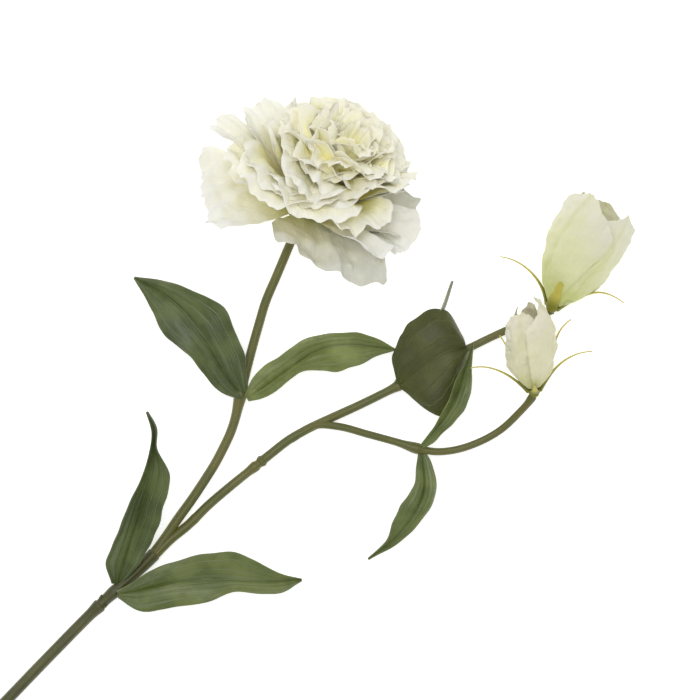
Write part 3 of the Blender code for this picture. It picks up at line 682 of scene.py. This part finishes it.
def petal_material(name, edge, middle, root, root_reach, edge_reach=(0.5, 1.0), green=0.0):
    """Thin, soft petal tissue: pale at the edge, deeper towards the root, with fine veins and creases."""
    material, tree, shader, (across, along, own) = new_material(
        name, Roughness=0.62, Subsurface_Weight=0.7, Subsurface_Scale=0.00018,
        Subsurface_Radius=(1.0, 1.0, 0.9), Specular_IOR_Level=0.2, Sheen_Weight=0.06, Sheen_Roughness=0.5,
    )
    place = object_place(tree)
    fibres = vector(
        tree, maths(tree, "MULTIPLY", across, 26.0), maths(tree, "MULTIPLY", along, 1.6),
        maths(tree, "MULTIPLY", own, 37.0),
    )
    streaks = noise(tree, fibres, 1.0, 4.0)
    blotches = noise(tree, place, 160.0)
    depth = maths(tree, "ADD", along, maths(tree, "MULTIPLY", maths(tree, "SUBTRACT", blotches, 0.5), 0.25))
    colour = mixed(tree, spread(tree, depth, *root_reach), root, middle)
    colour = mixed(tree, spread(tree, depth, *edge_reach), colour, edge)
    if green:
        midrib = vein_lines(tree, across, 1.0, 6.0)
        colour = mixed(tree, maths(tree, "MULTIPLY", midrib, green), colour, (0.62, 0.66, 0.25))
    vein_share = maths(tree, "MULTIPLY", spread(tree, streaks, 0.48, 0.72), 0.12)
    colour = mixed(tree, vein_share, colour, middle, "MULTIPLY")
    tree.links.new(colour, shader.inputs["Base Color"])
    crinkle = maths(tree, "MULTIPLY", noise(tree, place, 420.0, 4.0), 1.4)
    bump(tree, shader, maths(tree, "ADD", streaks, crinkle), 0.00035, 0.7)
    return material


def leaf_material(name, dark, light, vein, painted_sheen_share=0.4, roughness=0.33):
    """Satin leaf skin with long veins that run from the base to the tip, a fine grain between them, and pale
    streaks painted on as sheen highlights.
    """
    material, tree, shader, (across, along, own) = new_material(
        name, Roughness=roughness, Specular_IOR_Level=0.5, Sheen_Weight=0.04, Subsurface_Weight=0.08,
        Subsurface_Scale=0.001,
    )
    place = object_place(tree)
    fibres = vector(tree, maths(tree, "MULTIPLY", across, 22.0), maths(tree, "MULTIPLY", along, 5.0), own)
    grain = noise(tree, fibres, 1.0, 4.0)
    weave = noise(tree, place, 1600.0, 2.0)
    blotches = noise(tree, place, 90.0, 3.0)
    colour = mixed(tree, spread(tree, blotches, 0.35, 0.7), dark, light)
    colour = mixed(tree, maths(tree, "MULTIPLY", spread(tree, grain, 0.45, 0.75), 0.3), colour, light)
    colour = mixed(tree, maths(tree, "MULTIPLY", spread(tree, weave, 0.4, 0.7), 0.25), colour, light)
    wander = maths(tree, "MULTIPLY", maths(tree, "SUBTRACT", noise(tree, place, 60.0, 2.0), 0.5), 0.16)
    # Pale streaks along the leaf, painted into its colour as satin sheen highlights.
    painted_sheen = noise(tree, vector(
        tree, maths(tree, "MULTIPLY", across, 3.4), maths(tree, "MULTIPLY", along, 1.7), own
    ), 1.0, 2.0)
    painted_sheen = maths(tree, "MULTIPLY", spread(tree, painted_sheen, 0.5, 0.75), painted_sheen_share)
    colour = mixed(tree, painted_sheen, colour, PAINTED_SHEEN)
    veins = vein_lines(tree, maths(tree, "ADD", across, wander), 2.8, 16.0)
    colour = mixed(tree, maths(tree, "MULTIPLY", veins, 0.9), colour, vein)
    tree.links.new(colour, shader.inputs["Base Color"])
    height = maths(tree, "SUBTRACT", maths(tree, "MULTIPLY", grain, 0.7), maths(tree, "MULTIPLY", veins, 0.8))
    bump(tree, shader, height, 0.0003, 0.8)
    return material


def stem_material(name, dark, light, streak):
    """Smooth olive skin with fine streaks along the stem and a browner bloom here and there."""
    material, tree, shader, (around, along, other) = new_material(
        name, Roughness=0.36, Specular_IOR_Level=0.5, Subsurface_Weight=0.05, Subsurface_Scale=0.001,
    )
    fibres = vector(
        tree, maths(tree, "MULTIPLY", around, 6.0), maths(tree, "MULTIPLY", along, 3.0),
        maths(tree, "MULTIPLY", other, 6.0),
    )
    streaks = noise(tree, fibres, 1.0, 4.0)
    blotches = noise(tree, object_place(tree), 60.0, 3.0)
    colour = mixed(tree, spread(tree, blotches, 0.35, 0.65), dark, light)
    colour = mixed(tree, maths(tree, "MULTIPLY", spread(tree, streaks, 0.5, 0.75), 0.5), colour, streak)
    tree.links.new(colour, shader.inputs["Base Color"])
    bump(tree, shader, streaks, 0.0003, 0.6)
    return material


def calyx_material(name):
    """Yellow-green sepal skin, greener in the cup and paler at the sepals' thin tips."""
    material, tree, shader, (across, along, own) = new_material(
        name, Roughness=0.45, Specular_IOR_Level=0.3, Subsurface_Weight=0.15, Subsurface_Scale=0.0015,
    )
    grain = noise(tree, object_place(tree), 500.0, 3.0)
    colour = mixed(tree, spread(tree, along, 0.05, 0.6), (0.175, 0.18, 0.010), (0.60, 0.54, 0.11))
    colour = mixed(tree, maths(tree, "MULTIPLY", grain, 0.35), colour, (0.28, 0.29, 0.016))
    tree.links.new(colour, shader.inputs["Base Color"])
    bump(tree, shader, grain, 0.0001, 0.5)
    return material


# Pieces


def swollen(points, start, end, swellings):
    """Radii from start to end, with a swelling at each node of the stem that may be steeper on one side."""
    along = length_along(points)
    radii = start + (end - start) * along / along[-1]
    for at, height, before, after in swellings:
        radii = radii + height * np.exp(-(((along - at) / np.where(along < at, before, after)) ** 2))
    return radii


def add_spur(shell, base, tip, radius, seed):
    """Adds a small pointed stub, such as the remains of a shoot at a node."""
    way = unit(np.subtract(tip, base))
    reach = np.linalg.norm(np.subtract(tip, base))
    profile = ((radius, 0), (0.8 * radius, 0.5 * reach), (0.25 * radius, reach))
    add_turned(shell, base, way, profile, seed, 12, 6)


def build_stems():
    old = stem_material(
        "main_stem_skin", (0.058, 0.062, 0.014), (0.088, 0.086, 0.020), (0.16, 0.16, 0.06)
    )
    young = stem_material(
        "young_stem_skin", (0.096, 0.106, 0.018), (0.132, 0.126, 0.024), (0.22, 0.22, 0.085)
    )
    line = smooth([(x, y, MAIN_HEIGHT) for x, y in MAIN_LINE], 420)
    main = Shell()
    add_stem(main, line, swollen(line, 2.15, 2.15, MAIN_SWELLINGS), 1, slant=0.8)
    add_spur(main, (35.2, 37.6, 2.8), (35.9, 40.0, 3.6), 0.9, 21)
    add_spur(main, (36.4, 35.2, 3.0), (38.2, 36.2, 4.9), 0.8, 22)
    main.build("main_stem_skin", old, "stem", "main_stem")

    fork = Shell()
    bloom = smooth(BLOOM_LINE, 380)
    add_stem(fork, bloom, swollen(bloom, 1.85, 1.72, BLOOM_SWELLINGS), 2)
    bud = smooth(BUD_LINE, 160)
    add_stem(fork, bud, swollen(bud, 1.85, 1.68, BUD_SWELLINGS), 3)
    fork.build("fork_stem_skin", young, "stem", "fork_stem")

    buds = Shell()
    upper = smooth(UPPER_LINE, 340)
    add_stem(buds, upper, swollen(upper, 1.75, 1.4, UPPER_SWELLINGS), 4)
    lower = smooth(LOWER_LINE, 300)
    add_stem(buds, lower, swollen(lower, 1.45, 1.4, LOWER_SWELLINGS), 5)
    buds.build("bud_stem_skin", young, "stem", "bud_stem")


def build_leaves():
    green = leaf_material(
        "leaf_green", (0.048, 0.070, 0.014), (0.100, 0.134, 0.032), (0.30, 0.34, 0.23)
    )
    bright = leaf_material(
        "leaf_bright", (0.085, 0.118, 0.022), (0.165, 0.205, 0.055), (0.33, 0.37, 0.22)
    )
    olive = leaf_material(
        "leaf_olive", (0.044, 0.052, 0.003), (0.070, 0.080, 0.006), (0.12, 0.14, 0.04), 0.05, 0.5
    )
    pale = leaf_material(
        "leaf_pale", (0.26, 0.29, 0.20), (0.36, 0.39, 0.29), (0.45, 0.47, 0.38)
    )
    fresh = leaf_material(
        "leaf_fresh", (0.125, 0.160, 0.034), (0.240, 0.285, 0.085), (0.40, 0.44, 0.28), 0.3
    )
    skins = {
        "leaf_bloom_left": green, "leaf_bloom_right": fresh, "leaf_main_left": green,
        "leaf_main_right": bright, "leaf_broad": olive, "leaf_behind": pale, "leaf_bud_up": bright,
        "leaf_bud_down": bright,
    }
    for name, shape in LEAVES.items():
        shell = Shell()
        sheet, across, along = leaf_sheet(name, **shape)
        add_blade(shell, sheet, across, along, LEAF_THICKNESS, sum(map(ord, name)))
        shell.build(name + "_blade", skins[name], "leaf", name)


def add_petal(shell, *values, **more):
    sheet, across, along = petal_sheet(*values, **more)
    add_blade(shell, sheet, across, along, PETAL_THICKNESS, round(1000 * sheet[0, 0, 0]))


def build_bloom():
    # Besides the petals' own cream colour, yellow towards the root, the skins differ in brightness as painted
    # light and shade: the outer skin is darker, painted shade on the brightly lit outside, and the middle and
    # inner skins are brighter, painted light in the deep centre.
    skins = {
        "outer": petal_material(
            "outer_petal", (0.86, 0.855, 0.81), (0.86, 0.855, 0.75), (0.78, 0.79, 0.42), (0.0, 0.55)
        ),
        # A darker, greyer copy of the outer skin: painted shade for the bottom petal and the right guard
        # petal, which lie in the bloom's shade.
        "under": petal_material(
            "painted_shade_petal", (0.68, 0.68, 0.61), (0.70, 0.69, 0.56), (0.62, 0.65, 0.34), (0.0, 0.6)
        ),
        # A brighter copy of the outer skin: painted light for the side petals that face away from the lamp.
        "side": petal_material(
            "painted_light_petal", (0.94, 0.93, 0.86), (0.94, 0.92, 0.76), (0.84, 0.80, 0.40), (0.0, 0.6)
        ),
        "middle": petal_material(
            "middle_petal", (0.95, 0.93, 0.83), (0.98, 0.95, 0.70), (0.99, 0.90, 0.32), (0.46, 0.90),
            (0.78, 1.0),
        ),
        "inner": petal_material(
            "inner_petal", (0.97, 0.94, 0.81), (0.99, 0.95, 0.66), (0.99, 0.89, 0.26), (0.51, 0.92),
            (0.80, 1.02),
        ),
    }
    shells = {name: Shell() for name in skins}
    add_turned(shells["outer"], BLOOM_BASE, BLOOM_AXIS, BLOOM_FOOT, 9)
    for k, (piece, turn, length, width, first, last, *shape) in enumerate(SINGLES):
        add_petal(
            shells[piece], BLOOM_BASE, BLOOM_AXIS, turn, length, width, (first, last), *shape[:4],
            (3.0, 3.0), *shape[4:], 100 + 10 * k, rows=30, columns=72 if piece == "middle" else 84,
        )
    for ring, shape in enumerate(RINGS):
        add_ring(shells["middle" if ring < OUTER_RINGS else "inner"], ring, *shape)
    for name, shell in shells.items():
        shell.build(f"bloom_{name}_petals", skins[name], "bloom_petal", "bloom_petals")
    build_calyx("bloom", BLOOM_BASE, BLOOM_AXIS, BLOOM_CUP, BLOOM_SEPALS, (3.4, -1.8))


def add_ring(shell, ring, count, start, step, length, width, first, last, recurve, cup, ruffle):
    """Adds one ring of the bloom, with its axis leaned over and each petal a little different."""
    axis, front, side = head_frame(BLOOM_AXIS)
    axis = axis + CENTRE_TILT[ring] * side - CENTRE_BACK * front
    draw = np.random.default_rng(40 + ring)
    short_turn, short_reach, short_share = SHORT_SIDE
    for k in range(count):
        turn_off, size_off, lean_off, bend_off = draw.uniform(-1, 1, 4) * RING_SPREAD
        even_turn = (start + step * k) % 360
        if ring < OUTER_RINGS and any(low < even_turn < high for low, high in HOLLOWS):
            continue
        turn = (start + step * k + turn_off + 180) % 360 - 180
        short = math.exp(-(((turn - short_turn) / short_reach) ** 2))
        facing = math.cos(math.radians(turn))
        add_petal(
            shell, BLOOM_BASE, axis, turn, length * (1 + size_off - short_share * short - 0.02 * facing),
            width * (1 + 3 * size_off), (first, last + lean_off), cup, ruffle, RING_WAVES + 8 * size_off,
            2.4 * k + ring, (2.6 - 0.3 * ring, 4.5 + 0.6 * ring), 0,
            recurve * (1 + FRONT_BEND * facing) + bend_off, RING_ROUNDING, RING_FRILL,
            1000 + 100 * ring + 10 * k, rows=28, columns=58,
        )


def build_calyx(prefix, base, axis, cup, sepals, start):
    material = bpy.data.materials.get("calyx_skin") or calyx_material("calyx_skin")
    shell = Shell()
    add_turned(shell, base, axis, cup, 3)
    for k, (turn, length, leans, width, taper) in enumerate(sepals):
        sheet, across, along = sepal_sheet(base, axis, turn, length, leans, width, taper, start)
        add_blade(shell, sheet, across, along, SEPAL_THICKNESS, k)
    shell.build(prefix + "_calyx_skin", material, "calyx", prefix + "_calyx")


def build_buds():
    skins = {
        "upper_bud": petal_material(
            "upper_bud_petal", (0.80, 0.79, 0.66), (0.78, 0.79, 0.50), (0.58, 0.63, 0.22), (0.0, 0.5),
            green=0.35,
        ),
        "lower_bud": petal_material(
            "lower_bud_petal", (0.82, 0.79, 0.65), (0.78, 0.76, 0.54), (0.62, 0.62, 0.28), (0.0, 0.35),
            green=0.15,
        ),
    }
    for number, (prefix, shape) in enumerate(BUDS.items()):
        shell = Shell()
        base, axis = shape["base"], shape["axis"]
        add_turned(shell, base, axis, BUD_FOOT, 7)
        for k, (turn, share, slope, point, tilt, lift) in enumerate(shape["petals"]):
            seed = 2000 + 100 * number + 10 * k
            sheet, across, along = bud_sheet(
                base, axis, turn, shape["height"] * share, shape["profile"], slope, point, shape["twist"],
                tilt, lift, shape["crumple"], seed,
            )
            add_blade(shell, sheet, across, along, PETAL_THICKNESS, seed)
        shell.build(prefix + "_petal_skin", skins[prefix], "bud_petal", prefix + "_petals")
        build_calyx(prefix, base, axis, shape["cup"], shape["sepals"], (2.6, -1.1))


# Stage, light and camera


def build_stage():
    mesh = bpy.data.meshes.new("floor")
    reach = 3.0
    mesh.from_pydata(
        [(-reach, -reach, 0), (reach, -reach, 0), (reach, reach, 0), (-reach, reach, 0)], [], [(0, 1, 2, 3)]
    )
    floor = bpy.data.objects.new("floor", mesh)
    bpy.context.scene.collection.objects.link(floor)
    material = bpy.data.materials.new("floor")
    material.use_nodes = True
    tree = material.node_tree
    shader = tree.nodes["Principled BSDF"]
    shader.inputs["Base Color"].default_value = (0.9, 0.9, 0.9, 1)
    shader.inputs["Roughness"].default_value = 0.9
    shader.inputs["Emission Color"].default_value = (1, 1, 1, 1)
    shader.inputs["Emission Strength"].default_value = 0.55
    mesh.materials.append(material)


def add_area(name, place, target, size, power, colour):
    light = bpy.data.lights.new(name, "AREA")
    light.shape = "DISK"
    light.size = size
    light.energy = power
    light.color = colour
    obj = bpy.data.objects.new(name, light)
    bpy.context.scene.collection.objects.link(obj)
    obj.location = place
    way = np.array(target) - np.array(place)
    obj.rotation_mode = "QUATERNION"
    obj.rotation_quaternion = Vector(way).to_track_quat("-Z", "Y")


def build_light():
    world = bpy.data.worlds.new("studio")
    bpy.context.scene.world = world
    world.use_nodes = True
    background = world.node_tree.nodes["Background"]
    background.inputs["Color"].default_value = (1.0, 1.0, 1.0, 1)
    background.inputs["Strength"].default_value = 0.58
    middle = (0.13, 0.13, 0.02)
    add_area("key", (-0.05, 0.45, 1.75), middle, 1.3, 12.5, (1.0, 0.99, 0.97))


def build_camera():
    data = bpy.data.cameras.new("camera")
    data.lens = CAMERA_LENS
    data.sensor_width = CAMERA_SENSOR
    camera = bpy.data.objects.new("camera", data)
    bpy.context.scene.collection.objects.link(camera)
    camera.location = CAMERA_PLACE
    bpy.context.scene.camera = camera


build_camera()
build_light()
build_stage()
build_stems()
build_leaves()
build_bloom()
build_buds()
bpy.context.scene.view_settings.view_transform = "Standard"
bpy.context.scene.view_settings.look = "None"
bpy.context.view_layer.update()
